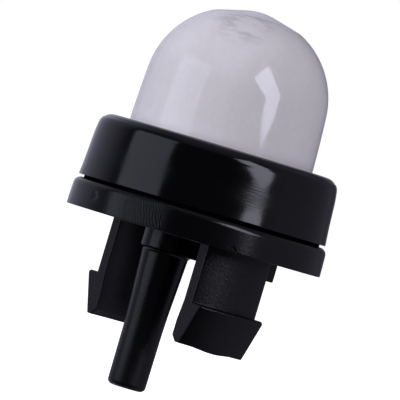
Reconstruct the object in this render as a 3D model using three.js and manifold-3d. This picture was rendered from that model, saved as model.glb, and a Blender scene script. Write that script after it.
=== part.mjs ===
// A snap-in fuel primer of a small two-stroke engine, in millimetres, with +Z up along its axis.
// The origin is on the axis, in the plane of the base's underside, which sits against the panel.
import * as THREE from "three";
import { mergeVertices } from "three/addons/utils/BufferGeometryUtils.js";
import Module from "manifold-3d";

const degrees = THREE.MathUtils.degToRad;

// The bulb: a hollow dome that stands on a flat flange
const DOME_RADIUS = 8.08; // outside, where the dome leaves the flange
const DOME_SIDE = 6.2; // height of the straight side above the flange
const DOME_DRAFT = degrees(2.6);
const SHOULDER_RADIUS = 7.3;
const CROWN_RADIUS = 3.7; // rim of the shallow cone on top
const CROWN_SLOPE = degrees(14.5);
const TIP_RADIUS = 0.65; // small flat at the very top
const BULB_WALL = 1;
const FLANGE_WIDTH = 1.35; // beyond the dome
const FLANGE_THICKNESS = 1.4;

// The retainer ring, which clamps the flange
const LIP_THICKNESS = 1.5;
const LIP_CLEARANCE = 0.07; // between the lip and the dome
const FLANGE_CLEARANCE = 0.15; // between the flange and the ring's bore
const RING_WALL = 1.24; // at the lower edge
const RING_DRAFT = degrees(5.4);
const RING_CORNER = 1.05;

// The base: flange, spigot and valve seat
const BASE_RIM = 0.29; // how far the base stands out past the ring
const BASE_THICKNESS = 2.45;
const BASE_DRAFT = degrees(2);
const BASE_CORNER = 0.6;
const STEP_HEIGHT = 0.2; // the ring rests on this low step, which leaves a narrow groove
const STEP_INSET = 0.5;
const SPIGOT_HEIGHT = 2.67; // above the step
const SPIGOT_CLEARANCE = 0.1;
const SNAP_HEIGHT = 0.25; // the spigot's bead, which holds the ring
const SNAP_WIDTH = 0.8;
const SEAT_RIM = 0.88; // width of the spigot's edge inside the bulb
const SEAT_DEPTH = 1.2; // the valve seat lies this far below the spigot's edge

// The boss, the nipples and the fuel passages under and in the base
const BOSS_SHOULDER = 0.3; // how far the boss stands out round a nipple's root
const BOSS_MARGIN = 0.6; // the same beyond the short nipple, towards +Y
const BOSS_HEIGHT = 1.6;
const LONG_NIPPLE_OFFSET = 2.27; // from the axis, towards -Y
const LONG_NIPPLE_LENGTH = 11.9; // below the boss
const SHORT_NIPPLE_OFFSET = 5; // from the axis, towards +Y
const SHORT_NIPPLE_LENGTH = 6;
const NIPPLE_ROOT_RADIUS = 2;
const NIPPLE_RADIUS = 1.67; // where the taper ends
const NIPPLE_TIP_RADIUS = 1.62;
const NIPPLE_TAPER = 5.1;
const NIPPLE_FILLET = 0.35;
const NIPPLE_END_ROUND = 0.45;
const BORE_RADIUS = 0.75;
const INLET_JOG = 1; // the inlet port lies this far outside the long nipple's bore
const PORT_RADIUS = 0.8;
const PORT_OVERLAP = 0.6; // the bore and the port meet over this height
const POCKET_ROOM = 0.35; // below the valve's lips
const GALLERY_HEIGHT = 1.2;
const GALLERY_WIDTH = 1.3;

// The two snap legs
const HOLE_RIM = 3.21; // how far the base reaches past the legs, onto the panel
const LEG_THICKNESS = 1.1;
const LEG_WIDTH = 6.57;
const LEDGE_DEPTH = 4.88; // from the underside down to the barb's ledge
const BARB_LENGTH = 3.59; // from the ledge down to the foot
const BARB_REACH = 1.15;
const BARB_EDGE = 0.2; // round of the barb's outer edge
const BARB_UNDERCUT = 0.2; // the foot of the barb's face lies this far inside the leg's outer face
const LEG_BULGE = 0.2; // the leg is this much thicker inwards behind the barb
const LEG_CHAMFER = 0.5; // inside, at the foot

// The check valve: an umbrella with a duckbill stem
const VALVE_GAP = 1.5; // between the umbrella and the wall round its seat
const UMBRELLA_RIM = 0.45; // thickness
const UMBRELLA_HUB = 0.9; // thickness
const HUB_RADIUS = 1.7;
const STEM_RADIUS = 1.1;
const STEM_CLEARANCE = 0.15;
const STEM_LENGTH = 1.5; // the round part, above the bill
const BILL_LENGTH = 1.25;
const BILL_LIP = 0.4; // thickness of the closed lips
const WELL_RADIUS = 0.6;

// How finely round shapes are divided
const RING_SEGMENTS = 60;
const NIPPLE_SEGMENTS = 24;
const SHOULDER_STEPS = 11;
const CORNER_STEPS = 4;
const MERGE_DISTANCE = 1e-4;
const CUT_PAST = 1; // cuts run this far past the face that they open

// Heights that follow from the sizes above
const STEP_TOP = BASE_THICKNESS + STEP_HEIGHT;
const SPIGOT_TOP = STEP_TOP + SPIGOT_HEIGHT;
const FLANGE_TOP = SPIGOT_TOP + FLANGE_THICKNESS;
const RING_TOP = FLANGE_TOP + LIP_THICKNESS;
const SEAT_LEVEL = SPIGOT_TOP - SEAT_DEPTH;
const POCKET_FLOOR = SEAT_LEVEL - STEM_LENGTH - BILL_LENGTH - POCKET_ROOM;
const LEG_LENGTH = LEDGE_DEPTH + BARB_LENGTH;

// Radii that follow from the sizes above
const FLANGE_RADIUS = DOME_RADIUS + FLANGE_WIDTH;
const RING_BORE = FLANGE_RADIUS + FLANGE_CLEARANCE;
const RING_RADIUS = RING_BORE + RING_WALL;
const SPIGOT_RADIUS = RING_BORE - SPIGOT_CLEARANCE;
const STEP_RADIUS = RING_RADIUS - STEP_INSET;
const BASE_RADIUS = RING_RADIUS + BASE_RIM;
const SEAT_RADIUS = DOME_RADIUS - BULB_WALL - SEAT_RIM;
const UMBRELLA_RADIUS = SEAT_RADIUS - VALVE_GAP;
const LEG_RADIUS = BASE_RADIUS - HOLE_RIM;
const BOSS_RADIUS = NIPPLE_ROOT_RADIUS + BOSS_SHOULDER;
const BOSS_END = SHORT_NIPPLE_OFFSET + BOSS_RADIUS + BOSS_MARGIN;

const wasm = await Module();
wasm.setup();

// Makes a solid of a closed geometry.
function solidOf(geometry) {
  geometry.deleteAttribute("normal");
  geometry.deleteAttribute("uv");
  const merged = mergeVertices(geometry, MERGE_DISTANCE);
  return new wasm.Manifold(
    new wasm.Mesh({
      numProp: 3,
      vertProperties: merged.getAttribute("position").array,
      triVerts: new Uint32Array(merged.index.array),
    }),
  );
}

// Makes a geometry of a solid.
function geometryOf(solid) {
  const mesh = solid.getMesh();
  const geometry = new THREE.BufferGeometry();
  geometry.setAttribute("position", new THREE.BufferAttribute(mesh.vertProperties, 3));
  geometry.setIndex(new THREE.BufferAttribute(mesh.triVerts, 1));
  const flat = geometry.toNonIndexed();
  flat.computeVertexNormals();
  return flat;
}

// Turns a profile of [radius, height] points about the Z axis.
function turned(profile, segments) {
  const points = profile.map(([radius, height]) => new THREE.Vector2(radius, height));
  return solidOf(new THREE.LatheGeometry(points, segments).rotateX(Math.PI / 2));
}

// Points of an arc in the profile plane, with both ends.
function arc(radius, height, size, from, to, steps) {
  return Array.from({ length: steps + 1 }, (_, i) => {
    const angle = from + ((to - from) * i) / steps;
    return [radius + size * Math.cos(angle), height + size * Math.sin(angle)];
  });
}

// Extrudes a shape of the XY plane upwards from a given height.
function raised(shape, bottom, height) {
  const options = { depth: height, bevelEnabled: false, curveSegments: NIPPLE_SEGMENTS };
  return solidOf(new THREE.ExtrudeGeometry(shape, options).translate(0, 0, bottom));
}

// Extrudes a shape of the XZ plane along Y, half of the width to each side.
function across(shape, width) {
  const options = { depth: width, bevelEnabled: false };
  const geometry = new THREE.ExtrudeGeometry(shape, options);
  return solidOf(geometry.rotateX(Math.PI / 2).translate(0, width / 2, 0));
}

function block(low, high) {
  const size = high.map((value, i) => value - low[i]);
  const middle = high.map((value, i) => (value + low[i]) / 2);
  return solidOf(new THREE.BoxGeometry(...size).translate(...middle));
}

function rod(x, y, bottom, top, radius) {
  const profile = [[0, bottom], [radius, bottom], [radius, top], [0, top]];
  return turned(profile, NIPPLE_SEGMENTS).translate([x, y, 0]);
}

// The dome's outline from its foot to its tip, moved inwards by the given depth.
function domeOutline(depth) {
  const sideRadius = DOME_RADIUS - DOME_SIDE * Math.tan(DOME_DRAFT);
  const centre = sideRadius - SHOULDER_RADIUS * Math.cos(DOME_DRAFT);
  const level = FLANGE_TOP + DOME_SIDE - SHOULDER_RADIUS * Math.sin(DOME_DRAFT);
  const crownAngle = Math.acos((CROWN_RADIUS - centre) / SHOULDER_RADIUS);
  const size = SHOULDER_RADIUS - depth;
  const shoulder = arc(centre, level, size, DOME_DRAFT, crownAngle, SHOULDER_STEPS);
  const [rimRadius, rimHeight] = shoulder[SHOULDER_STEPS];
  const tipHeight = rimHeight + (rimRadius - TIP_RADIUS) * Math.tan(CROWN_SLOPE);
  return [...shoulder, [TIP_RADIUS, tipHeight], [0, tipHeight]];
}

function primerBulb() {
  const inside = DOME_RADIUS - BULB_WALL;
  return turned(
    [
      ...domeOutline(BULB_WALL).reverse(),
      [inside, SPIGOT_TOP],
      [FLANGE_RADIUS, SPIGOT_TOP],
      [FLANGE_RADIUS, FLANGE_TOP],
      [DOME_RADIUS, FLANGE_TOP],
      ...domeOutline(0),
    ],
    RING_SEGMENTS,
  );
}

// The snap bead's outline on a wall of the given radius, upwards.
function snapOutline(wall, crest) {
  const middle = (STEP_TOP + SPIGOT_TOP) / 2;
  const ramp = crest - wall;
  return [
    [wall, middle - SNAP_WIDTH / 2 - ramp],
    [crest, middle - SNAP_WIDTH / 2],
    [crest, middle + SNAP_WIDTH / 2],
    [wall, middle + SNAP_WIDTH / 2 + ramp],
  ];
}

function retainerRing() {
  const sideTop = RING_TOP - RING_CORNER;
  const topRadius = RING_RADIUS - (sideTop - STEP_TOP) * Math.tan(RING_DRAFT);
  const groove = SPIGOT_RADIUS + SNAP_HEIGHT + SPIGOT_CLEARANCE;
  const hole = DOME_RADIUS + LIP_CLEARANCE;
  const start = [RING_BORE, STEP_TOP];
  return turned(
    [
      start,
      [RING_RADIUS, STEP_TOP],
      ...arc(topRadius - RING_CORNER, sideTop, RING_CORNER, 0, Math.PI / 2, CORNER_STEPS),
      [hole, RING_TOP],
      [hole, FLANGE_TOP],
      [RING_BORE, FLANGE_TOP],
      ...snapOutline(RING_BORE, groove).reverse(),
      start,
    ],
    RING_SEGMENTS,
  );
}

// The base's round body: flange, step, spigot and valve seat.
function baseBody() {
  const topRadius = BASE_RADIUS - BASE_THICKNESS * Math.tan(BASE_DRAFT);
  const corner = Math.min(BASE_CORNER, topRadius - STEP_RADIUS, BASE_THICKNESS);
  const cornerLevel = BASE_THICKNESS - corner;
  return turned(
    [
      [0, 0],
      [BASE_RADIUS, 0],
      ...arc(topRadius - corner, cornerLevel, corner, 0, Math.PI / 2, CORNER_STEPS),
      [STEP_RADIUS, BASE_THICKNESS],
      [STEP_RADIUS, STEP_TOP],
      [SPIGOT_RADIUS, STEP_TOP],
      ...snapOutline(SPIGOT_RADIUS, SPIGOT_RADIUS + SNAP_HEIGHT),
      [SPIGOT_RADIUS, SPIGOT_TOP],
      [SEAT_RADIUS, SPIGOT_TOP],
      [SEAT_RADIUS, SEAT_LEVEL],
      [0, SEAT_LEVEL],
    ],
    RING_SEGMENTS,
  );
}

// The bar under the base: round about the long nipple, and ended by an arc about the axis.
function boss() {
  const side = Math.asin(BOSS_RADIUS / BOSS_END);
  const shape = new THREE.Shape();
  shape.absarc(0, -LONG_NIPPLE_OFFSET, BOSS_RADIUS, Math.PI, 2 * Math.PI, false);
  shape.absarc(0, 0, BOSS_END, Math.PI / 2 - side, Math.PI / 2 + side, false);
  return raised(shape, -BOSS_HEIGHT, BOSS_HEIGHT + BASE_THICKNESS / 2);
}

function nipple(y, length) {
  const root = -BOSS_HEIGHT;
  const end = root - length;
  const tip = NIPPLE_TIP_RADIUS - NIPPLE_END_ROUND;
  const taperEnd = Math.max(root - NIPPLE_TAPER, end + 2 * NIPPLE_END_ROUND);
  const fillet = Math.min(NIPPLE_FILLET, BOSS_SHOULDER);
  const flare = NIPPLE_ROOT_RADIUS + fillet;
  const inBoss = root + BOSS_HEIGHT / 2;
  return turned(
    [
      [0, end],
      ...arc(tip, end + NIPPLE_END_ROUND, NIPPLE_END_ROUND, -Math.PI / 2, 0, CORNER_STEPS),
      [NIPPLE_RADIUS, taperEnd],
      ...arc(flare, root - fillet, fillet, Math.PI, Math.PI / 2, CORNER_STEPS),
      [NIPPLE_RADIUS, inBoss],
      [0, inBoss],
    ],
    NIPPLE_SEGMENTS,
  ).translate([0, y, 0]);
}

// Both snap legs: a ring of the leg's section, of which a slab keeps the two opposite pieces.
function legs() {
  const inside = LEG_RADIUS - LEG_THICKNESS;
  const barb = LEG_RADIUS + BARB_REACH;
  const root = BASE_THICKNESS / 2;
  const bulgeLevel = (LEDGE_DEPTH + LEG_LENGTH) / 2;
  const start = [inside, root];
  const section = [
    start,
    [inside, -LEDGE_DEPTH],
    [inside - LEG_BULGE, -bulgeLevel],
    [inside - LEG_BULGE, LEG_CHAMFER - LEG_LENGTH],
    [inside - LEG_BULGE + LEG_CHAMFER, -LEG_LENGTH],
    [LEG_RADIUS - BARB_UNDERCUT, -LEG_LENGTH],
    [barb, -LEDGE_DEPTH - BARB_EDGE],
    [barb - BARB_EDGE, -LEDGE_DEPTH],
    [LEG_RADIUS, -LEDGE_DEPTH],
    [LEG_RADIUS, root],
    start,
  ];
  const half = LEG_WIDTH / 2;
  const reach = barb + CUT_PAST;
  const slab = block([-reach, -half, -LEG_LENGTH - CUT_PAST], [reach, half, root + CUT_PAST]);
  return turned(section, RING_SEGMENTS).intersect(slab);
}

// The inlet runs from the long nipple up to the umbrella, and the outlet from the stem's pocket
// along a gallery to the short nipple.
function passages() {
  const portY = -LONG_NIPPLE_OFFSET - INLET_JOG;
  const longEnd = -BOSS_HEIGHT - LONG_NIPPLE_LENGTH - CUT_PAST;
  const shortEnd = -BOSS_HEIGHT - SHORT_NIPPLE_LENGTH - CUT_PAST;
  const cutTop = SEAT_LEVEL + CUT_PAST;
  const pocketRadius = STEM_RADIUS + STEM_CLEARANCE;
  const galleryTop = POCKET_FLOOR + GALLERY_HEIGHT;
  const half = GALLERY_WIDTH / 2;
  return rod(0, -LONG_NIPPLE_OFFSET, longEnd, PORT_OVERLAP, BORE_RADIUS)
    .add(rod(0, portY, 0, cutTop, PORT_RADIUS))
    .add(rod(0, 0, POCKET_FLOOR, cutTop, pocketRadius))
    .add(block([-half, 0, POCKET_FLOOR], [half, SHORT_NIPPLE_OFFSET, galleryTop]))
    .add(rod(0, SHORT_NIPPLE_OFFSET, shortEnd, galleryTop, BORE_RADIUS));
}

function base() {
  return baseBody()
    .add(boss())
    .add(legs())
    .add(nipple(-LONG_NIPPLE_OFFSET, LONG_NIPPLE_LENGTH))
    .add(nipple(SHORT_NIPPLE_OFFSET, SHORT_NIPPLE_LENGTH))
    .subtract(passages());
}

// The umbrella lies on the valve seat, and its stem ends in two flat lips that meet.
function checkValve() {
  const stemEnd = SEAT_LEVEL - STEM_LENGTH;
  const billEnd = stemEnd - BILL_LENGTH;
  const hubTop = SEAT_LEVEL + UMBRELLA_HUB;
  const valve = turned(
    [
      [0, billEnd],
      [STEM_RADIUS, billEnd],
      [STEM_RADIUS, SEAT_LEVEL],
      [UMBRELLA_RADIUS, SEAT_LEVEL],
      [UMBRELLA_RADIUS, SEAT_LEVEL + UMBRELLA_RIM],
      [HUB_RADIUS, hubTop],
      [WELL_RADIUS, hubTop],
      [WELL_RADIUS, stemEnd],
      [0, stemEnd],
    ],
    RING_SEGMENTS,
  );
  const wide = UMBRELLA_RADIUS + CUT_PAST;
  const wedge = new THREE.Shape([
    new THREE.Vector2(-BILL_LIP / 2, billEnd),
    new THREE.Vector2(BILL_LIP / 2, billEnd),
    new THREE.Vector2(STEM_RADIUS, stemEnd),
    new THREE.Vector2(wide, SEAT_LEVEL),
    new THREE.Vector2(wide, RING_TOP),
    new THREE.Vector2(-wide, RING_TOP),
    new THREE.Vector2(-wide, SEAT_LEVEL),
    new THREE.Vector2(-STEM_RADIUS, stemEnd),
  ]);
  return valve.intersect(across(wedge, 2 * wide));
}

const milkyRubber = new THREE.MeshStandardMaterial({ color: 0xc4c2cf, roughness: 0.45, metalness: 0 });
const blackNylon = new THREE.MeshStandardMaterial({ color: 0x17171b, roughness: 0.4, metalness: 0 });
const greyRubber = new THREE.MeshStandardMaterial({ color: 0x3c3c40, roughness: 0.7, metalness: 0 });

const primer = new THREE.Group();

function addPiece(name, solid, material) {
  const mesh = new THREE.Mesh(geometryOf(solid), material.clone());
  mesh.name = name;
  primer.add(mesh);
}

addPiece("base", base(), blackNylon);
addPiece("retainer_ring", retainerRing(), blackNylon);
addPiece("primer_bulb", primerBulb(), milkyRubber);
addPiece("check_valve", checkValve(), greyRubber);

export default primer;
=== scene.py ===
"""Looks of a snap-in fuel primer: a milky rubber bulb held by a black nylon ring on a black nylon base."""

import bpy
import numpy as np
from mathutils import Matrix, Vector


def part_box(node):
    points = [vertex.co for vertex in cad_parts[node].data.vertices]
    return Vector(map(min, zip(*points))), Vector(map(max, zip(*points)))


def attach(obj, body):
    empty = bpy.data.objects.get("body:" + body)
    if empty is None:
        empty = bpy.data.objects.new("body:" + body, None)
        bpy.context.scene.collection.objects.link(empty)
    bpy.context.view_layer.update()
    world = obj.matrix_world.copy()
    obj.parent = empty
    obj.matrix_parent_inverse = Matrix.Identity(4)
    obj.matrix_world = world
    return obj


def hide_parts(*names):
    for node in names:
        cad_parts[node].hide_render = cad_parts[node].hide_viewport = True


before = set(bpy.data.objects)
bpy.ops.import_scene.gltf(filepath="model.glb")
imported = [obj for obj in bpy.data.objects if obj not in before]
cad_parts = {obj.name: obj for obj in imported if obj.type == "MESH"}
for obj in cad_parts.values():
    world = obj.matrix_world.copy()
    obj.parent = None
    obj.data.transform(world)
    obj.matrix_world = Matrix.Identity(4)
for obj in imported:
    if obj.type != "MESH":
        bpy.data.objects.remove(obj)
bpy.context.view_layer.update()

MM = 0.001  # shapes are worked out in millimetres and stored in metres
TINY = 1e-6

# The photograph's view: level, turned about the axis, and leaning
VIEW_AZIMUTH = np.radians(54.2)
LEAN = np.radians(16.6)
DISTANCE = 500
FRAME_PIXELS = 400
PIXELS_PER_MM = 11.89
AXIS_OFFSET = 4.8 / PIXELS_PER_MM  # the axis is 4.8 pixels right of the picture's middle
AIM_HEIGHT = 3.39
LIGHT_DISTANCE = 300
SENSOR = 36
BACK = np.array([np.sin(VIEW_AZIMUTH), -np.cos(VIEW_AZIMUTH), 0])
RIGHT = np.array([np.cos(VIEW_AZIMUTH), np.sin(VIEW_AZIMUTH), 0])
UP = np.array([0, 0, 1])


def node_box(node):
    """Lowest and highest corner of a CAD node in millimetres."""
    low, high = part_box(node)
    return np.array(low) / MM, np.array(high) / MM


base_low, base_high = node_box("base")
ring_low, ring_high = node_box("retainer_ring")
bulb_low, bulb_high = node_box("primer_bulb")

# The bulb
DOME_RADIUS = 8.08
DOME_SIDE = 6.2
DOME_DRAFT = np.radians(2.6)
SHOULDER_RADIUS = 7.3
BARREL_RADIUS = 104  # the side's slight swell
BARREL_ANGLE = np.radians(3.9)  # the side's lean where it meets the shoulder
CROWN_RADIUS = 3.7
CROWN_SLOPE = np.radians(14.5)
RIM_RADIUS = 3
TIP_RADIUS = 0.65
BULB_WALL = 1
BULB_SKIRT = 3  # the straight inside ends this far up, in a hidden slit under 0.06 mm wide
DOME_INSET = 0.05  # the wall is this much narrower than DOME_RADIUS where its swell starts
FLANGE_THICKNESS = 1.4
FLANGE_RADIUS = bulb_high[0]
FLANGE_BOTTOM = bulb_low[2]
FLANGE_TOP = FLANGE_BOTTOM + FLANGE_THICKNESS
BULB_TOP = bulb_high[2]

# The ring
RING_RADIUS = ring_high[0]
RING_BOTTOM = ring_low[2]
RING_TOP = ring_high[2]
RING_BORE = FLANGE_RADIUS + 0.15
RING_HOLE = DOME_RADIUS + 0.07
RING_DRAFT = np.radians(5.4)
RING_CORNER = 1.05
SINK_BEND = np.radians([-12.4, 16.4])  # the lean's change with the height squared, and to the fourth power

# The base
BASE_RADIUS = base_high[0]
BASE_THICKNESS = 2.45
BASE_DRAFT = np.radians(2)
BASE_CORNER = 0.6
STEP_RADIUS = RING_RADIUS - 0.5
SPIGOT_TOP = base_high[2]
SPIGOT_RADIUS = RING_BORE - 0.1
SNAP_HEIGHT = 0.25
SNAP_WIDTH = 0.8
SEAT_RADIUS = 6.2
SEAT_LEVEL = SPIGOT_TOP - 1.2

# The boss and the nipples
BOSS_RADIUS = 2.3
BOSS_END = 7.9
BOSS_HEIGHT = 1.6
LONG_OFFSET = -2.27
LONG_SHIFT = -0.08  # the long nipple isn't quite in the middle of the boss's end
LONG_END = base_low[2]
SHORT_OFFSET = 5
SHORT_END = -7.6
NIPPLE_ROOT_RADIUS = 2
NIPPLE_RADIUS = 1.68
NIPPLE_TIP_RADIUS = 1.64
NIPPLE_TAPER = 6.2
NIPPLE_BEND = 60  # radius of the soft bend where the taper ends
NIPPLE_FILLET = 0.3
NIPPLE_END_ROUND = 0.45
BORE_RADIUS = 0.75
ROOT_LEVEL = 1  # the boss and the legs start this high, inside the flange
NIPPLE_SINK = 0.2  # and the nipples this deep inside the boss

# The legs
LEG_RADIUS = 7.9
LEG_THICKNESS = 1.1
RIGHT_LEG_NEAR = 3.45  # the legs reach this far towards -Y
LEFT_LEG_NEAR = 3.6
LEG_FAR = 3.285  # and this far towards +Y
LEDGE = -4.88
FOOT = -8.47
BARB_REACH = 1.15
BARB_TIP = 0.2
FOOT_TAPER = 0.2
LEG_BULGE = 0.2
LEG_CHAMFER = 0.5
EDGE_ROUND = 0.15
FLASH_DEPTH = 0.15  # a bead of flash under one foot, this deep at the most
FLASH_PLACE = -0.3  # of its middle, across the foot
FLASH_WIDTH = 4.4
SOLE_HEIGHT = 0.3  # the flash tapers off over this height

# Marks in the materials. A mark is whole within its CORE, and has faded out at its REACH from the middle
# The crown's crease is painted shade, along the fold between the shoulder and the crown's cone
CREASE_TURN = np.radians(14)  # turns the crown's crease to +X
CREASE_RADIUS = 3.3
CREASE_WAVER = 0.5
CREASE_REACH = 0.15
CREASE_CORE = 0.03
CREASE_START = 1.6  # the turned X from which the crease shows
CREASE_WHOLE = 2.4  # and from which it is whole
CREASE_FLOOR = 18.5  # the height above which it shows
CREASE_SHADE = 0.75
DARK_PATCH_PLACE = (3.4, -2.3, 18)
DARK_PATCH_REACH = 3
DARK_PATCH_CORE = 0.8
DARK_PATCH_STRENGTH = 0.7
BAND_HEIGHT = 1.6  # of the bulb's paler band of painted light above the ring
FLOW_AZIMUTH = np.radians(58.5 - 90)  # turns the fan's place to the front
FLOW_SPACING = 0.04  # of the ripples, as a share of their distance below the fan's root
FLOW_ROOT = (-2.9, 7.8)  # across and up, where the ripples would all meet
FLOW_MIDDLE = -0.6
FLOW_REACH = 3.4
FLOW_CORE = 1
FLOW_FRONT = -9  # the fan lies only on the wall in front of this
FLOW_WAVER = 0.07
NICKS = [(0.16, -11.05, 1.2), (10.47, -3.5, 0.15)]
NICK_SIZE = 0.9
NICK_STEEP = 4  # of a nick's side, in shares of its depth per millimetre
NICK_DEPTH = 12  # in heights of a ripple
RUB_LEVEL = 4.8  # the height of the ring's waist
RUB_REACH = 1.3
RUB_CORE = 0.3
SCUFF_DEPTH = 2.5
GROOVE_HALF = 0.1  # half the height of the groove under the ring

# How finely the shapes are divided
LATHE_TURNS = 240
NIPPLE_TURNS = 72
CORNER_STEPS = 6
SIDE_STEPS = 24
SHOULDER_STEPS = 60
CROWN_STEPS = 10
BOSS_STEPS = 32
LEG_STEPS = 25
FLAT_EDGE = 0.015  # a flat's shading starts this far past the corner's arc
SHARP = np.radians(35)


def softened(corners, closed=False):
    """An outline whose corners are arcs. Each corner is (across, up, round): both sides are cut back by the
    round's tangent length, and the points between them swing from one side's direction to the other's about
    the centre of the circle that touches both. One more point on either side keeps the flats flat."""
    corners = np.array(corners, float)
    points = []
    for i, (here, size) in enumerate(zip(corners[:, :2], corners[:, 2])):
        end = not closed and i in (0, len(corners) - 1)
        if end or size == 0:
            points.append(here[None])
            continue
        before = corners[i - 1, :2] - here
        after = corners[(i + 1) % len(corners), :2] - here
        before = before / np.linalg.norm(before)
        after = after / np.linalg.norm(after)
        half = np.arccos(np.clip(before @ after, -1, 1)) / 2
        tangent = size / np.tan(half)
        centre = here + (before + after) / np.linalg.norm(before + after) * size / np.sin(half)
        start = here + before * tangent - centre
        finish = here + after * tangent - centre
        swing = np.pi - 2 * half
        k = np.linspace(0, 1, CORNER_STEPS + 1)[:, None]
        points.append(here[None] + before * (tangent + FLAT_EDGE))
        points.append(centre + (np.sin((1 - k) * swing) * start + np.sin(k * swing) * finish) / np.sin(swing))
        points.append(here[None] + after * (tangent + FLAT_EDGE))
    return np.concatenate(points)


def arc(across, up, size, first, last, steps):
    """Points of a circle's arc in the profile plane, between two angles in radians."""
    angle = np.linspace(first, last, steps + 1)
    return np.stack([across + size * np.cos(angle), up + size * np.sin(angle)], 1)


def divided(outline, spacing, closed=False):
    """The same outline with more points: each side is cut into equal lengths of at most the spacing."""
    ends = np.roll(outline, -1, 0) if closed else outline[1:]
    starts = outline if closed else outline[:-1]
    counts = np.ceil(np.linalg.norm(ends - starts, axis=1) / spacing).astype(int).clip(1)
    side = np.repeat(np.arange(len(starts)), counts)
    step = np.arange(counts.sum()) - np.repeat(np.cumsum(counts) - counts, counts)
    share = (step / counts[side])[:, None]
    points = starts[side] * (1 - share) + ends[side] * share
    return points if closed else np.concatenate([points, outline[-1:]])


def weave(rows, columns, close_rows, close_columns):
    """Four-sided faces of a grid of points. A face's normal is the column direction crossed with the row
    direction."""
    i, j = np.meshgrid(np.arange(rows if close_rows else rows - 1),
                       np.arange(columns if close_columns else columns - 1), indexing="ij")
    i, j = i.ravel(), j.ravel()
    below, beside = (i + 1) % rows, (j + 1) % columns
    return np.stack([i * columns + j, i * columns + beside, below * columns + beside, below * columns + j], 1)


def piece(name, points, faces, material, slot, *stands_for):
    """A mesh object at the origin, smooth but for its sharp edges, riding on the one body."""
    mesh = bpy.data.meshes.new(name)
    mesh.from_pydata((points * MM).tolist(), [], faces)
    mesh.shade_smooth()
    mesh.set_sharp_from_angle(angle=SHARP)
    mesh.materials.append(material)
    made = bpy.data.objects.new(name, mesh)
    bpy.context.scene.collection.objects.link(made)
    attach(made, "root")
    if stands_for:
        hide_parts(*stands_for)
    return made


def lathe(outline, turns, offset=0, dent=None):
    """A profile of (radius, height) turned about an upright line through (0, offset): x = radius cos t,
    y = offset + radius sin t. A profile that starts and ends on the line gets one point at each pole, and any
    other closes on itself. dent(t, radius, height) gives a depth by which a point moves towards the line."""
    has_poles = outline[0, 0] < TINY
    rim = outline[1:-1] if has_poles else outline
    t = 2 * np.pi * np.arange(turns) / turns
    radius, height = rim[:, :1], rim[:, 1:] + 0 * t
    if dent is not None:
        radius = radius - dent(t[None], radius, rim[:, 1:])
    grid = np.stack([radius * np.cos(t), offset + radius * np.sin(t), height], 2)
    points = grid.reshape(-1, 3)
    faces = weave(len(rim), turns, not has_poles, True).tolist()
    if has_poles:
        poles = [[0, offset, outline[0, 1]], [0, offset, outline[-1, 1]]]
        here = np.arange(turns)
        beside = (here + 1) % turns
        last = (len(rim) - 1) * turns
        first_pole = len(points)
        faces += np.stack([0 * here + first_pole, beside, here], 1).tolist()
        faces += np.stack([last + here, last + beside, 0 * here + first_pole + 1], 1).tolist()
        points = np.concatenate([points, poles])
    return points, faces


def outward(outline):
    """Unit normals of a closed outline whose points run anticlockwise: the direction between a point's
    neighbours, turned a quarter turn."""
    along = np.roll(outline, -1, 0) - np.roll(outline, 1, 0)
    along = along / np.linalg.norm(along, axis=1)[:, None]
    return np.stack([along[:, 1], -along[:, 0]], 1)


def bulb_outline(depth):
    """The dome from foot to tip, moved inwards by a depth. Four arcs follow one another, each with the same
    direction as the next where they meet: a side that swells a little, the shoulder, the crown's rim, and the
    tip. Between the last two lies a shallow cone. The rim's centre is where it touches both the cone and the
    shoulder: for an angle a between the two directions, cos a = (reach - rim) / (shoulder - rim)."""
    centre = DOME_RADIUS - DOME_SIDE * np.tan(DOME_DRAFT) - SHOULDER_RADIUS * np.cos(DOME_DRAFT)
    level = FLANGE_TOP + DOME_SIDE - SHOULDER_RADIUS * np.sin(DOME_DRAFT)
    steep = np.pi / 2 - CROWN_SLOPE
    corner = np.arccos((CROWN_RADIUS - centre) / SHOULDER_RADIUS)
    reach = SHOULDER_RADIUS * np.cos(steep - corner)
    rim = steep - np.arccos((reach - RIM_RADIUS) / (SHOULDER_RADIUS - RIM_RADIUS))
    tip = TIP_RADIUS / np.tan(CROWN_SLOPE / 2)
    beyond = BARREL_RADIUS - SHOULDER_RADIUS
    within = SHOULDER_RADIUS - RIM_RADIUS
    foot = BARREL_ANGLE - DOME_SIDE / BARREL_RADIUS
    return np.concatenate([
        arc(centre - beyond * np.cos(BARREL_ANGLE), level - beyond * np.sin(BARREL_ANGLE),
            BARREL_RADIUS - depth, foot, BARREL_ANGLE, SIDE_STEPS),
        arc(centre, level, SHOULDER_RADIUS - depth, BARREL_ANGLE, rim, SHOULDER_STEPS)[1:],
        arc(centre + within * np.cos(rim), level + within * np.sin(rim),
            RIM_RADIUS - depth, rim, steep, CROWN_STEPS)[1:],
        arc(0, BULB_TOP - tip, tip - depth, steep, np.pi / 2, CROWN_STEPS),
    ])


def make_bulb(material):
    """One closed wall: down the inside from the crown's pole, round the flange, and up the outside."""
    inside = DOME_RADIUS - BULB_WALL
    flange = softened([
        [inside, FLANGE_BOTTOM + BULB_SKIRT, 0],
        [inside, FLANGE_BOTTOM, 0.1],
        [FLANGE_RADIUS, FLANGE_BOTTOM, 0.15],
        [FLANGE_RADIUS, FLANGE_TOP, 0.15],
        [DOME_RADIUS - DOME_INSET, FLANGE_TOP, 0.06],
        [DOME_RADIUS - DOME_INSET, FLANGE_TOP + 0.5, 0],
    ])
    outline = np.concatenate([bulb_outline(BULB_WALL)[::-1], flange, bulb_outline(0)])
    outline = divided(outline, spacing=0.3)
    points, faces = lathe(outline, LATHE_TURNS)
    piece("bulb_wall", points, faces, material, "milky_bulb", "primer_bulb")


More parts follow.
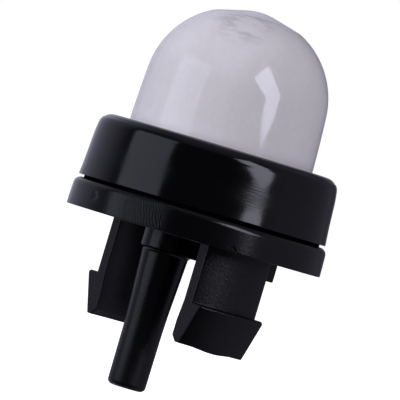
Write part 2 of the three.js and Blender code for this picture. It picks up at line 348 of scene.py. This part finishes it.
def make_ring(material):
    """The ring's section turned about the axis. As on most thick mouldings its side isn't quite straight: it
    is steepest a little above the middle, and leans in more towards the top."""
    side_top = RING_TOP - RING_CORNER
    top_radius = RING_RADIUS - (RING_TOP - RING_BOTTOM) * np.tan(RING_DRAFT)
    middle = (RING_BOTTOM + SPIGOT_TOP) / 2
    groove = SPIGOT_RADIUS + SNAP_HEIGHT + 0.1
    ramp = groove - RING_BORE
    outline = softened([
        [RING_BORE, RING_BOTTOM, 0.06],
        [RING_RADIUS, RING_BOTTOM, 0.07],
        [top_radius, RING_TOP, RING_CORNER],
        [RING_HOLE, RING_TOP, 0.12],
        [RING_HOLE, FLANGE_TOP, 0.05],
        [RING_BORE, FLANGE_TOP, 0.05],
        [RING_BORE, middle + SNAP_WIDTH / 2 + ramp, 0],
        [groove, middle + SNAP_WIDTH / 2, 0],
        [groove, middle - SNAP_WIDTH / 2, 0],
        [RING_BORE, middle - SNAP_WIDTH / 2 - ramp, 0],
    ], closed=True)
    outline = divided(outline, spacing=0.12, closed=True)

    def sink(t, radius, height):
        """The lean's change, b s^2 + c s^4 at a share s of the side's height, summed from the bottom up: the
        height times b s^3 / 3 + c s^5 / 5. Only the outer wall moves."""
        tall = side_top - RING_BOTTOM
        share = np.clip((height - RING_BOTTOM) / tall, 0, 1)
        return tall * (SINK_BEND[0] * share**3 / 3 + SINK_BEND[1] * share**5 / 5) * (radius > groove + 0.3)

    points, faces = lathe(outline, LATHE_TURNS, dent=sink)
    piece("clamp_ring", points, faces, material, "black_nylon", "retainer_ring")


def make_flange(material):
    """The base's round body: flange, low step, spigot with its snap bead, and the sunk valve seat."""
    top_radius = BASE_RADIUS - BASE_THICKNESS * np.tan(BASE_DRAFT)
    middle = (RING_BOTTOM + SPIGOT_TOP) / 2
    bead = SPIGOT_RADIUS + SNAP_HEIGHT
    outline = softened([
        [0, 0, 0],
        [BASE_RADIUS, 0, 0.1],
        [top_radius, BASE_THICKNESS, BASE_CORNER],
        [STEP_RADIUS, BASE_THICKNESS, 0.02],
        [STEP_RADIUS, RING_BOTTOM, 0.04],
        [SPIGOT_RADIUS, RING_BOTTOM, 0.05],
        [SPIGOT_RADIUS, middle - SNAP_WIDTH / 2 - SNAP_HEIGHT, 0],
        [bead, middle - SNAP_WIDTH / 2, 0.1],
        [bead, middle + SNAP_WIDTH / 2, 0.1],
        [SPIGOT_RADIUS, middle + SNAP_WIDTH / 2 + SNAP_HEIGHT, 0],
        [SPIGOT_RADIUS, SPIGOT_TOP, 0.1],
        [SEAT_RADIUS, SPIGOT_TOP, 0.1],
        [SEAT_RADIUS, SEAT_LEVEL, 0.1],
        [0, SEAT_LEVEL, 0],
    ])
    points, faces = lathe(divided(outline, spacing=0.25), LATHE_TURNS)
    piece("base_flange", points, faces, material, "black_nylon", "base")


def make_boss(material):
    """A plan outline carried down from the flange, with its lower edge rounded: the outline draws in by
    round (1 - cos a) while the height falls by round sin a."""
    side = np.arcsin(BOSS_RADIUS / BOSS_END)
    near = arc(0, LONG_OFFSET, BOSS_RADIUS, np.pi, 2 * np.pi, BOSS_STEPS)
    far = arc(0, 0, BOSS_END, np.pi / 2 - side, np.pi / 2 + side, BOSS_STEPS // 2)
    plan = divided(np.concatenate([near, far]), spacing=0.4, closed=True)
    normal = outward(plan)
    a = np.linspace(np.pi / 2, 0, CORNER_STEPS)
    rounded = -BOSS_HEIGHT + EDGE_ROUND * (1 - np.sin(a))
    height = np.concatenate([[-BOSS_HEIGHT], rounded, [FLAT_EDGE - BOSS_HEIGHT + EDGE_ROUND, ROOT_LEVEL]])
    inset = np.concatenate([[EDGE_ROUND + FLAT_EDGE], EDGE_ROUND * (1 - np.cos(a)), [0, 0]])
    flat = plan[None] - inset[:, None, None] * normal[None]
    grid = np.concatenate([flat, np.broadcast_to(height[:, None, None], flat.shape[:2] + (1,))], 2)
    rows, columns = flat.shape[:2]
    faces = weave(rows, columns, False, True).tolist()
    faces.append(np.arange(columns)[::-1].tolist())
    faces.append((np.arange(columns) + (rows - 1) * columns).tolist())
    piece("boss", grid.reshape(-1, 3), faces, material, "black_nylon")


def make_nipple(name, offset, end, material):
    """A tapered tube turned about its own line: across the bore's blind end, down the bore, round the tip,
    and up the outside to a small fillet at the boss."""
    root = -BOSS_HEIGHT
    taper = min(NIPPLE_TAPER, (root - end) / 2)
    outline = softened([
        [0, root, 0],
        [BORE_RADIUS, root, 0],
        [BORE_RADIUS, end, 0.12],
        [NIPPLE_TIP_RADIUS, end, NIPPLE_END_ROUND],
        [NIPPLE_RADIUS, root - taper, NIPPLE_BEND * taper / NIPPLE_TAPER],
        [NIPPLE_ROOT_RADIUS, root, NIPPLE_FILLET],
        [NIPPLE_ROOT_RADIUS + NIPPLE_FILLET, root, 0],
        [NIPPLE_ROOT_RADIUS, root + NIPPLE_SINK, 0],
        [0, root + NIPPLE_SINK, 0],
    ])
    points, faces = lathe(divided(outline, spacing=0.3), NIPPLE_TURNS, offset)
    piece(name, points, faces, material, "black_nylon")


def make_leg(name, side, near, flash, material):
    """A snap leg's section of (radius, height), carried across the width: at each place y the radius becomes
    x = sqrt(radius^2 - y^2), so both broad faces stay round about the axis. At either end the section draws
    in by round (1 - cos a) while y gains round sin a. A bead of flash hangs under the foot, with the shape of
    a squared cosine and the given depth."""
    inside = LEG_RADIUS - LEG_THICKNESS
    barb = LEG_RADIUS + BARB_REACH
    section = softened([
        [inside, ROOT_LEVEL, 0],
        [inside, LEDGE, 0.5],
        [inside - LEG_BULGE, (LEDGE + FOOT) / 2, 0.5],
        [inside - LEG_BULGE, FOOT + LEG_CHAMFER, 0.15],
        [inside - LEG_BULGE + LEG_CHAMFER, FOOT, 0.15],
        [LEG_RADIUS - FOOT_TAPER, FOOT, 0.15],
        [barb, LEDGE - BARB_TIP, 0.12],
        [barb - BARB_TIP, LEDGE, 0.12],
        [LEG_RADIUS, LEDGE, 0.05],
        [LEG_RADIUS, ROOT_LEVEL, 0],
    ], closed=True)
    section = divided(section, spacing=0.4, closed=True)
    normal = outward(section)
    low, high = (-near, LEG_FAR) if side > 0 else (-LEG_FAR, near)
    a = np.linspace(0, np.pi / 2, CORNER_STEPS)
    gain_end = np.append(EDGE_ROUND * (1 - np.sin(a)), 0)
    inset_end = np.append(EDGE_ROUND * (1 - np.cos(a)), EDGE_ROUND + FLAT_EDGE)
    y_body = np.linspace(low + EDGE_ROUND, high - EDGE_ROUND, LEG_STEPS)[1:-1]
    y = np.concatenate([low + gain_end[::-1], y_body, high - gain_end])
    inset = np.concatenate([inset_end[::-1], 0 * y_body, inset_end])
    spread = section[:, None] - inset[None, :, None] * normal[:, None]
    x = np.sqrt(spread[..., 0] ** 2 - y**2)
    bead = np.cos(np.clip((y - FLASH_PLACE) / FLASH_WIDTH, -0.5, 0.5) * np.pi) ** 2
    sole = np.clip(1 - (spread[..., 1] - FOOT) / SOLE_HEIGHT, 0, 1)
    z = spread[..., 1] - flash * bead * sole
    grid = np.stack([side * x, side * y + 0 * x, z], 2)
    rows, columns = x.shape
    faces = weave(rows, columns, True, False).tolist()
    faces.append((np.arange(rows) * columns).tolist())
    faces.append((np.arange(rows)[::-1] * columns + columns - 1).tolist())
    piece(name, grid.reshape(-1, 3), faces, material, "black_nylon")


def linear(code):
    """An sRGB hex colour as linear red, green, blue and alpha."""
    value = np.array([int(code[i:i + 2], 16) for i in (0, 2, 4)]) / 255
    low, high = value / 12.92, ((value + 0.055) / 1.055) ** 2.4
    return (*np.where(value <= 0.04045, low, high).tolist(), 1.0)


def add(tree, kind, inputs=None, **settings):
    """Adds a node, sets its settings, and fills or links its inputs."""
    node = tree.nodes.new("ShaderNode" + kind)
    for name, value in settings.items():
        setattr(node, name, value)
    for name, value in (inputs or {}).items():
        if isinstance(value, bpy.types.NodeSocket):
            tree.links.new(value, node.inputs[name])
        else:
            node.inputs[name].default_value = value
    return node


def new_material(name):
    """A material with an empty node tree, and that tree."""
    material = bpy.data.materials.new(name)
    material.use_nodes = True
    material.node_tree.nodes.clear()
    return material, material.node_tree


def finish_material(tree, shader):
    """Links the shader to the material's surface."""
    output = add(tree, "OutputMaterial")
    tree.links.new(shader.outputs[0], output.inputs["Surface"])


def faded(tree, value, none_at, whole_at, **settings):
    """A share that goes from 0 to 1 while the value goes from none_at to whole_at."""
    share = add(tree, "MapRange", {"Value": value, "From Min": none_at, "From Max": whole_at}, **settings)
    return share.outputs["Result"]


def crown_crease_shade_and_patches(tree, place):
    """Share of painted darkening on the crown, from 0 to 1. Along its rim, on the side towards the front right,
    runs painted shade in a fine crease, where the radius plus half of a noise comes to 3.3 mm. Beside it
    there are darker patches, from noise that changes four times faster upwards than along."""
    spot = add(tree, "Mapping", {
        "Vector": place, "Rotation": (0, 0, CREASE_TURN), "Scale": (1 / MM,) * 3}).outputs["Vector"]
    part = add(tree, "SeparateXYZ", {"Vector": spot}).outputs
    flat = add(tree, "VectorMath", {0: spot, 1: (1, 1, 0)}, operation="MULTIPLY").outputs[0]
    radius = add(tree, "VectorMath", {0: flat}, operation="LENGTH").outputs["Value"]
    waver = add(tree, "TexNoise", {"Vector": spot, "Scale": 0.9, "Detail": 2}).outputs["Fac"]
    shaken = add(tree, "Math", {0: waver, 1: CREASE_WAVER, 2: radius}, operation="MULTIPLY_ADD").outputs[0]
    crease_off = add(tree, "Math", {0: shaken, 1: CREASE_RADIUS}, operation="SUBTRACT").outputs[0]
    crease_far = add(tree, "Math", {0: crease_off}, operation="ABSOLUTE").outputs[0]
    crease = faded(tree, crease_far, CREASE_REACH, CREASE_CORE)
    facing = faded(tree, part["X"], CREASE_START, CREASE_WHOLE)
    high = add(tree, "Math", {0: part["Z"], 1: CREASE_FLOOR}, operation="GREATER_THAN").outputs[0]
    line = add(tree, "Math", {0: crease, 1: facing}, operation="MULTIPLY").outputs[0]
    line = add(tree, "Math", {0: line, 1: high}, operation="MULTIPLY").outputs[0]
    patch_off = add(tree, "VectorMath", {0: spot, 1: DARK_PATCH_PLACE}, operation="DISTANCE").outputs["Value"]
    patch = faded(tree, patch_off, DARK_PATCH_REACH, DARK_PATCH_CORE)
    smear = add(tree, "Mapping", {"Vector": spot, "Scale": (0.6, 0.6, 2.4)}).outputs["Vector"]
    patch_noise = add(tree, "TexNoise", {"Vector": smear, "Scale": 1, "Detail": 4}).outputs["Fac"]
    dark_patches = add(tree, "Math", {0: patch, 1: faded(tree, patch_noise, 0.46, 0.64)}, operation="MULTIPLY").outputs[0]
    # the crease's painted shade
    faint = add(tree, "Math", {0: line, 1: CREASE_SHADE}, operation="MULTIPLY").outputs[0]
    both = add(tree, "Math", {0: dark_patches, 1: DARK_PATCH_STRENGTH, 2: faint}, operation="MULTIPLY_ADD", use_clamp=True)
    return both.outputs[0]


def milky_elastomer():
    """Natural elastomer, compression moulded in a polished mould: milky and translucent, so its shadows are
    soft and pale, with a clear gloss over them. Cloudy streaks run up it. Just above the ring it is painted
    paler: painted light where the ring shades it. Its flecks and its skin are finer than drawn here: at 0.4
    and 0.5 mm they are as coarse as they need to be to show."""
    material, tree = new_material("milky_elastomer")
    place = add(tree, "TexCoord").outputs["Object"]
    streaks = add(tree, "Mapping", {"Vector": place, "Scale": (1, 1, 0.25)}).outputs["Vector"]
    clouds = add(tree, "TexNoise", {"Vector": streaks, "Scale": 1 / (3 * MM), "Detail": 2})
    tone = add(tree, "ValToRGB", {"Fac": clouds.outputs["Fac"]})
    tone.color_ramp.elements[0].position = 0.3
    tone.color_ramp.elements[0].color = linear("d8d4d8")
    tone.color_ramp.elements[1].position = 0.7
    tone.color_ramp.elements[1].color = linear("dddade")
    mottle = add(tree, "TexNoise", {"Vector": place, "Scale": 1 / (0.4 * MM), "Detail": 2})
    speck = add(tree, "MapRange", {
        "Value": mottle.outputs["Fac"], "From Min": 0.3, "From Max": 0.7, "To Min": 0.98, "To Max": 1.02})
    flecked = add(tree, "VectorMath", {0: tone.outputs["Color"], "Scale": speck.outputs["Result"]},
                  operation="SCALE")
    height = add(tree, "SeparateXYZ", {"Vector": place}).outputs["Z"]
    # Painted light: the bulb is painted paler just above the ring, where the ring shades it
    low = faded(tree, height, (RING_TOP + BAND_HEIGHT) * MM, (RING_TOP - 0.2) * MM)
    pale = add(tree, "Mix", {"Factor": low, "A": flecked.outputs[0], "B": linear("e6e2e8")}, data_type="RGBA")
    # Painted shade in the crown's crease, and darker patches beside it
    crown_shaded = add(tree, "Mix", {"Factor": crown_crease_shade_and_patches(tree, place), "A": pale.outputs["Result"],
                             "B": linear("a09ca8")}, data_type="RGBA")
    skin = add(tree, "TexNoise", {"Vector": place, "Scale": 1 / (0.5 * MM), "Detail": 3})
    bump = add(tree, "Bump", {"Height": skin.outputs["Fac"], "Strength": 0.2, "Distance": 0.02 * MM})
    shader = add(tree, "BsdfPrincipled", {
        "Base Color": crown_shaded.outputs["Result"],
        "Roughness": 0.08,
        "IOR": 1.45,
        "Specular IOR Level": 0.9,
        "Subsurface Weight": 1.0,
        "Subsurface Radius": (1.0, 1.0, 1.0),
        "Subsurface Scale": 0.2 * MM,
        "Normal": bump.outputs["Normal"],
    })
    finish_material(tree, shader)
    return material


def flow_lines(tree, place):
    """Height of the marks on the base's side, and where the gloss is gone. Where the melt slowed, it left a
    fan of fine ripples. Their phase is (across - root across) / (root up - up) over a line spacing, and noise
    makes them waver. To their left there is a nick in the wall, and another at the lower edge above the right
    leg. A nick reaches as far from its place as a noise times its size."""
    wall = add(tree, "Mapping", {
        "Vector": place, "Rotation": (0, 0, FLOW_AZIMUTH), "Scale": (1 / MM,) * 3}).outputs["Vector"]
    waver = add(tree, "TexNoise", {"Vector": wall, "Scale": 1.4, "Detail": 2}).outputs["Fac"]
    part = add(tree, "SeparateXYZ", {"Vector": wall}).outputs
    across = add(tree, "Math", {0: part["X"], 1: FLOW_ROOT[0]}, operation="SUBTRACT").outputs[0]
    fan = add(tree, "Math", {0: FLOW_ROOT[1], 1: part["Z"]}, operation="SUBTRACT").outputs[0]
    lean = add(tree, "Math", {0: across, 1: fan}, operation="DIVIDE").outputs[0]
    shaken = add(tree, "Math", {0: waver, 1: FLOW_WAVER, 2: lean}, operation="MULTIPLY_ADD").outputs[0]
    phase = add(tree, "Math", {0: shaken, 1: 2 * np.pi / FLOW_SPACING}, operation="MULTIPLY").outputs[0]
    ripple = add(tree, "Math", {0: phase}, operation="SINE").outputs[0]
    off_centre = add(tree, "Math", {0: part["X"], 1: FLOW_MIDDLE}, operation="SUBTRACT").outputs[0]
    far_off = add(tree, "Math", {0: off_centre}, operation="ABSOLUTE").outputs[0]
    fade = faded(tree, far_off, FLOW_REACH, FLOW_CORE, interpolation_type="SMOOTHSTEP")
    front = add(tree, "Math", {0: part["Y"], 1: FLOW_FRONT}, operation="LESS_THAN").outputs[0]
    there = add(tree, "Math", {0: fade, 1: front}, operation="MULTIPLY").outputs[0]
    height = add(tree, "Math", {0: ripple, 1: there}, operation="MULTIPLY").outputs[0]
    rough = add(tree, "TexNoise", {"Vector": wall, "Scale": 3, "Detail": 1}).outputs["Fac"]
    size = add(tree, "Math", {0: rough, 1: NICK_SIZE * MM}, operation="MULTIPLY").outputs[0]
    for nick in NICKS:
        middle = [c * MM for c in nick]
        away = add(tree, "VectorMath", {0: place, 1: middle}, operation="DISTANCE").outputs["Value"]
        inside = add(tree, "Math", {0: size, 1: away}, operation="SUBTRACT").outputs[0]
        depth = add(tree, "Math", {0: inside, 1: NICK_STEEP / MM}, operation="MULTIPLY", use_clamp=True).outputs[0]
        height = add(tree, "Math", {0: depth, 1: -NICK_DEPTH, 2: height}, operation="MULTIPLY_ADD").outputs[0]
    return height, there


def rub_marks(tree, place):
    """Height of the level scratches round the ring's waist, and where the gloss is gone. Noise is drawn out
    20 times along the wall, and fades away from the waist. Real scratches are finer: they are drawn about
    0.1 mm apart, so that they show."""
    long = add(tree, "Mapping", {"Vector": place, "Scale": (0.5 / MM, 0.5 / MM, 10 / MM)}).outputs["Vector"]
    lines = add(tree, "TexNoise", {"Vector": long, "Scale": 1, "Detail": 2}).outputs["Fac"]
    height = add(tree, "SeparateXYZ", {"Vector": place}).outputs["Z"]
    off = add(tree, "Math", {0: height, 1: RUB_LEVEL * MM}, operation="SUBTRACT").outputs[0]
    far = add(tree, "Math", {0: off}, operation="ABSOLUTE").outputs[0]
    near = faded(tree, far, RUB_REACH * MM, RUB_CORE * MM)
    return add(tree, "Math", {0: lines, 1: near}, operation="MULTIPLY").outputs[0], near


def tip_scuffs(tree, place):
    """Height of the fine scuffs that hoses leave on a nipple, and where the gloss is gone. They start a third
    of the way down it, and grow towards its tip. Real scuffs are finer: they are drawn about 0.35 mm apart,
    so that they show."""
    grit = add(tree, "TexNoise", {"Vector": place, "Scale": 1 / (0.35 * MM), "Detail": 3}).outputs["Fac"]
    height = add(tree, "SeparateXYZ", {"Vector": place}).outputs["Z"]
    near = faded(tree, height, LONG_END / 3 * MM, LONG_END * MM)
    deep = add(tree, "Math", {0: grit, 1: SCUFF_DEPTH}, operation="MULTIPLY").outputs[0]
    return add(tree, "Math", {0: deep, 1: near}, operation="MULTIPLY").outputs[0], near


def black_nylon(name, roughness, grain, grain_size, marks=None, dulling=0):
    """Injection moulded nylon, dyed black: glossy where the mould was polished, with a faint grain that
    breaks up the reflections. The real grain is finer: it is drawn at 0.2 or 0.25 mm, so that it shows. The
    groove under the ring has no gloss: painted shade that keeps it a black line where it lies in shadow."""
    material, tree = new_material(name)
    place = add(tree, "TexCoord").outputs["Object"]
    clouds = add(tree, "TexNoise", {"Vector": place, "Scale": 1 / (3 * MM), "Detail": 3})
    tone = add(tree, "ValToRGB", {"Fac": clouds.outputs["Fac"]})
    tone.color_ramp.elements[0].color = linear("020203")
    tone.color_ramp.elements[1].color = linear("060608")
    gloss = add(tree, "MapRange", {
        "Value": clouds.outputs["Fac"], "To Min": roughness - 0.03, "To Max": roughness + 0.03})
    height = add(tree, "SeparateXYZ", {"Vector": place}).outputs["Z"]
    groove_level = (BASE_THICKNESS + RING_BOTTOM) / 2 * MM
    in_groove = add(tree, "Math", {0: height, 1: groove_level, 2: GROOVE_HALF * MM}, operation="COMPARE")
    rough = gloss.outputs["Result"]
    # The usual specular level is 0.5, and the groove has none: painted shade, as the groove lies in shadow
    specular_with_groove_shade = add(tree, "Math", {0: 0.5, 1: in_groove.outputs[0]}, operation="SUBTRACT", use_clamp=True)
    skin = add(tree, "TexNoise", {"Vector": place, "Scale": 1 / (grain_size * MM), "Detail": 3})
    bump = add(tree, "Bump", {"Height": skin.outputs["Fac"], "Strength": grain, "Distance": 0.02 * MM})
    if marks is not None:
        relief, dull = marks(tree, place)
        bump = add(tree, "Bump", {"Height": relief, "Strength": 1, "Distance": 0.01 * MM,
                                  "Normal": bump.outputs["Normal"]})
        rough = add(tree, "Math", {0: dull, 1: dulling, 2: rough}, operation="MULTIPLY_ADD").outputs[0]
    shader = add(tree, "BsdfPrincipled", {
        "Base Color": tone.outputs["Color"],
        "Roughness": rough,
        "IOR": 1.5,
        "Specular IOR Level": specular_with_groove_shade.outputs[0],
        "Normal": bump.outputs["Normal"],
    })
    finish_material(tree, shader)
    return material


def valve_rubber():
    """Compression moulded nitrile rubber of the check valve: dark grey and matt, with a cloudy bloom."""
    material, tree = new_material("valve_rubber")
    place = add(tree, "TexCoord").outputs["Object"]
    bloom = add(tree, "TexNoise", {"Vector": place, "Scale": 1 / (0.6 * MM), "Detail": 4})
    tone = add(tree, "ValToRGB", {"Fac": bloom.outputs["Fac"]})
    tone.color_ramp.elements[0].color = linear("1c1c1e")
    tone.color_ramp.elements[1].color = linear("2a2a2d")
    bump = add(tree, "Bump", {"Height": bloom.outputs["Fac"], "Strength": 0.3, "Distance": 0.02 * MM})
    shader = add(tree, "BsdfPrincipled", {
        "Base Color": tone.outputs["Color"], "Roughness": 0.6, "IOR": 1.5, "Normal": bump.outputs["Normal"]})
    finish_material(tree, shader)
    return material


def direction(azimuth, elevation):
    """Unit vector towards a place in the studio, in degrees right of the camera and above the horizon."""
    a, e = np.radians(azimuth), np.radians(elevation)
    return np.cos(e) * (np.cos(a) * BACK + np.sin(a) * RIGHT) + np.sin(e) * UP


def softbox(name, azimuth, elevation, width, height, radiance, tint):
    """A rectangular area light that faces the part."""
    away = direction(azimuth, elevation)
    across = np.cross(UP, away)
    across = across / np.linalg.norm(across)
    light = bpy.data.lights.new(name, "AREA")
    light.shape = "RECTANGLE"
    light.size, light.size_y = width * MM, height * MM
    light.energy = radiance * width * height * MM**2 * np.pi
    light.color = linear(tint)[:3]
    made = bpy.data.objects.new(name, light)
    bpy.context.scene.collection.objects.link(made)
    place = Matrix(np.stack([across, np.cross(away, across), away], 1).tolist()).to_4x4()
    place.translation = Vector(away * LIGHT_DISTANCE * MM)
    made.matrix_world = place
    made.visible_camera = False
    return made


def umbrella(radiance, tint):
    """A ribbed white umbrella, as an emitting fan of faces about its middle. Its ribs' ends are azimuths and
    elevations. Only the gloss sees it: the fills give its share of the soft light."""
    material, tree = new_material("white_umbrella")
    shader = add(tree, "Emission", {"Color": linear(tint), "Strength": radiance})
    finish_material(tree, shader)
    ribs = [(38, 8.5), (28, 18), (17, 30), (26, 42), (37, 50), (47, 31), (56, 15), (54, 9), (47, 5)]
    middle = (37, 26)
    points = [direction(*rib) * LIGHT_DISTANCE * MM for rib in ribs + [middle]]
    here = np.arange(len(ribs))
    faces = np.stack([here, (here + 1) % len(ribs), 0 * here + len(ribs)], 1).tolist()
    mesh = bpy.data.meshes.new("umbrella")
    mesh.from_pydata([point.tolist() for point in points], [], faces)
    mesh.materials.append(material)
    made = bpy.data.objects.new("umbrella", mesh)
    bpy.context.scene.collection.objects.link(made)
    made.visible_camera = False
    made.visible_diffuse = False
    made.visible_shadow = False


def studio():
    """A dim room about a white table. Its brightness follows the direction round the part: dark behind the
    camera, and palest behind the part and to its left. The picture's own backdrop is plain white."""
    world = bpy.data.worlds.new("studio")
    bpy.context.scene.world = world
    world.use_nodes = True
    tree = world.node_tree
    tree.nodes.clear()
    way = add(tree, "TexCoord").outputs["Generated"]
    across = add(tree, "VectorMath", {0: way, 1: RIGHT.tolist()}, operation="DOT_PRODUCT")
    towards = add(tree, "VectorMath", {0: way, 1: BACK.tolist()}, operation="DOT_PRODUCT")
    angle = add(tree, "Math", {0: across.outputs["Value"], 1: towards.outputs["Value"]}, operation="ARCTAN2")
    turn = add(tree, "MapRange", {"Value": angle.outputs[0], "From Min": -np.pi, "From Max": np.pi})
    walls = add(tree, "ValToRGB", {"Fac": turn.outputs["Result"]})
    ramp = walls.color_ramp
    # Azimuth in degrees and brightness
    stops = [(-180, 0.4), (-165, 0.5), (-150, 0.36), (-130, 0.33), (-115, 0.29), (-104, 0.19), (-96, 0.09),
             (-88, 0.04), (-38, 0.02), (45, 0.03), (60, 0.16), (75, 0.19), (105, 0.16), (120, 0.14),
             (145, 0.12), (156, 0.06), (170, 0.12), (180, 0.4)]
    while len(ramp.elements) < len(stops):
        ramp.elements.new(0.5)
    for element, (degrees, level) in zip(ramp.elements, stops):
        element.position = degrees / 360 + 0.5
        element.color = (level, level, 1.3 * level, 1)
    height = add(tree, "SeparateXYZ", {"Vector": way}).outputs["Z"]
    # The walls end and the ceiling begins between these sines of the elevation
    high = faded(tree, height, 0.45, 0.85)
    room = add(tree, "Mix", {"Factor": high, "B": (0.15, 0.15, 0.19, 1)}, data_type="RGBA")
    tree.links.new(walls.outputs["Color"], room.inputs["A"])
    lit = add(tree, "Background", {"Color": room.outputs["Result"]})
    backdrop = add(tree, "Background", {"Color": (1, 1, 1, 1)})
    ray = add(tree, "LightPath").outputs["Is Camera Ray"]
    both = add(tree, "MixShader", {0: ray, 1: lit.outputs[0], 2: backdrop.outputs[0]})
    output = add(tree, "OutputWorld")
    tree.links.new(both.outputs[0], output.inputs["Surface"])

    softbox("left_softbox", -64.2, 9, 240, 222, 0.95, "e4ecff")
    umbrella(3.8, "eaeaff")
    # Soft fills: name, azimuth, elevation, size and radiance
    fills = [("left_fill", -62, 52, 420, 0.54), ("top_fill", -70, 80, 500, 0.15),
             ("front_fill", -34, 12, 500, 1.28), ("right_fill", 80, 4, 420, 1.15)]
    for name, azimuth, elevation, size, radiance in fills:
        softbox(name, azimuth, elevation, size, size, radiance, "fafaff").visible_glossy = False


def white_table():
    """A plain white table that the nipple's tip touches. The fills stand in for its light, so it neither
    shows in the gloss nor lights the part from below."""
    material, tree = new_material("white_table")
    place = add(tree, "TexCoord").outputs["Object"]
    grain = add(tree, "TexNoise", {"Vector": place, "Scale": 1 / (40 * MM), "Detail": 1})
    tone = add(tree, "ValToRGB", {"Fac": grain.outputs["Fac"]})
    tone.color_ramp.elements[0].color = linear("f4f4f6")
    tone.color_ramp.elements[1].color = linear("fbfbfc")
    shader = add(tree, "BsdfPrincipled", {
        "Base Color": tone.outputs["Color"], "Roughness": 0.9,
        "Emission Color": (1, 1, 1, 1), "Emission Strength": 1.0})
    finish_material(tree, shader)
    mesh = bpy.data.meshes.new("table")
    reach = 2000
    level = LONG_END - 0.05
    square = reach * np.array([[-1, -1], [1, -1], [1, 1], [-1, 1]])
    corners = np.column_stack([square, np.full(4, level)])
    mesh.from_pydata((corners * MM).tolist(), [], [[0, 1, 2, 3]])
    mesh.materials.append(material)
    table = bpy.data.objects.new("table", mesh)
    bpy.context.scene.collection.objects.link(table)
    table.visible_glossy = False
    table.visible_diffuse = False


def camera():
    """Level with the part and rolled, so that the part's axis leans to the right in the picture."""
    data = bpy.data.cameras.new("camera")
    data.sensor_width = SENSOR
    data.lens = SENSOR * DISTANCE * PIXELS_PER_MM / FRAME_PIXELS
    data.clip_start, data.clip_end = 10 * MM, 5000 * MM
    across = np.cos(LEAN) * RIGHT + np.sin(LEAN) * UP
    top = -np.sin(LEAN) * RIGHT + np.cos(LEAN) * UP
    place = Matrix(np.stack([across, top, BACK], 1).tolist()).to_4x4()
    place.translation = Vector((BACK * DISTANCE - RIGHT * AXIS_OFFSET + UP * AIM_HEIGHT) * MM)
    made = bpy.data.objects.new("camera", data)
    bpy.context.scene.collection.objects.link(made)
    made.matrix_world = place
    bpy.context.scene.camera = made


bpy.context.scene.view_settings.view_transform = "Standard"
camera()
studio()
white_table()

# The ring mirrors the lamps, the base's side is matt where its flow lines run, the nipples are satin and dull
# towards their tips, and the legs are scuffed by the panel
ring_nylon = black_nylon("polished_nylon", roughness=0.12, grain=0.12, grain_size=0.2,
                         marks=rub_marks, dulling=0.05)
flange_nylon = black_nylon("moulded_nylon_with_flow_lines", roughness=0.19, grain=0.3, grain_size=0.25,
                           marks=flow_lines, dulling=0.24)
base_nylon = black_nylon("moulded_nylon", roughness=0.26, grain=0.9, grain_size=0.2,
                         marks=tip_scuffs, dulling=0.14)
leg_nylon = black_nylon("scuffed_nylon", roughness=0.34, grain=0.85, grain_size=0.25)
make_bulb(milky_elastomer())
make_ring(ring_nylon)
make_flange(flange_nylon)
make_boss(base_nylon)
make_nipple("long_nipple", LONG_OFFSET + LONG_SHIFT, LONG_END, base_nylon)
make_nipple("short_nipple", SHORT_OFFSET, SHORT_END, base_nylon)
make_leg("right_leg", side=1, near=RIGHT_LEG_NEAR, flash=FLASH_DEPTH, material=leg_nylon)
make_leg("left_leg", side=-1, near=LEFT_LEG_NEAR, flash=0, material=leg_nylon)
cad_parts["check_valve"].data.materials.clear()
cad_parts["check_valve"].data.materials.append(valve_rubber())
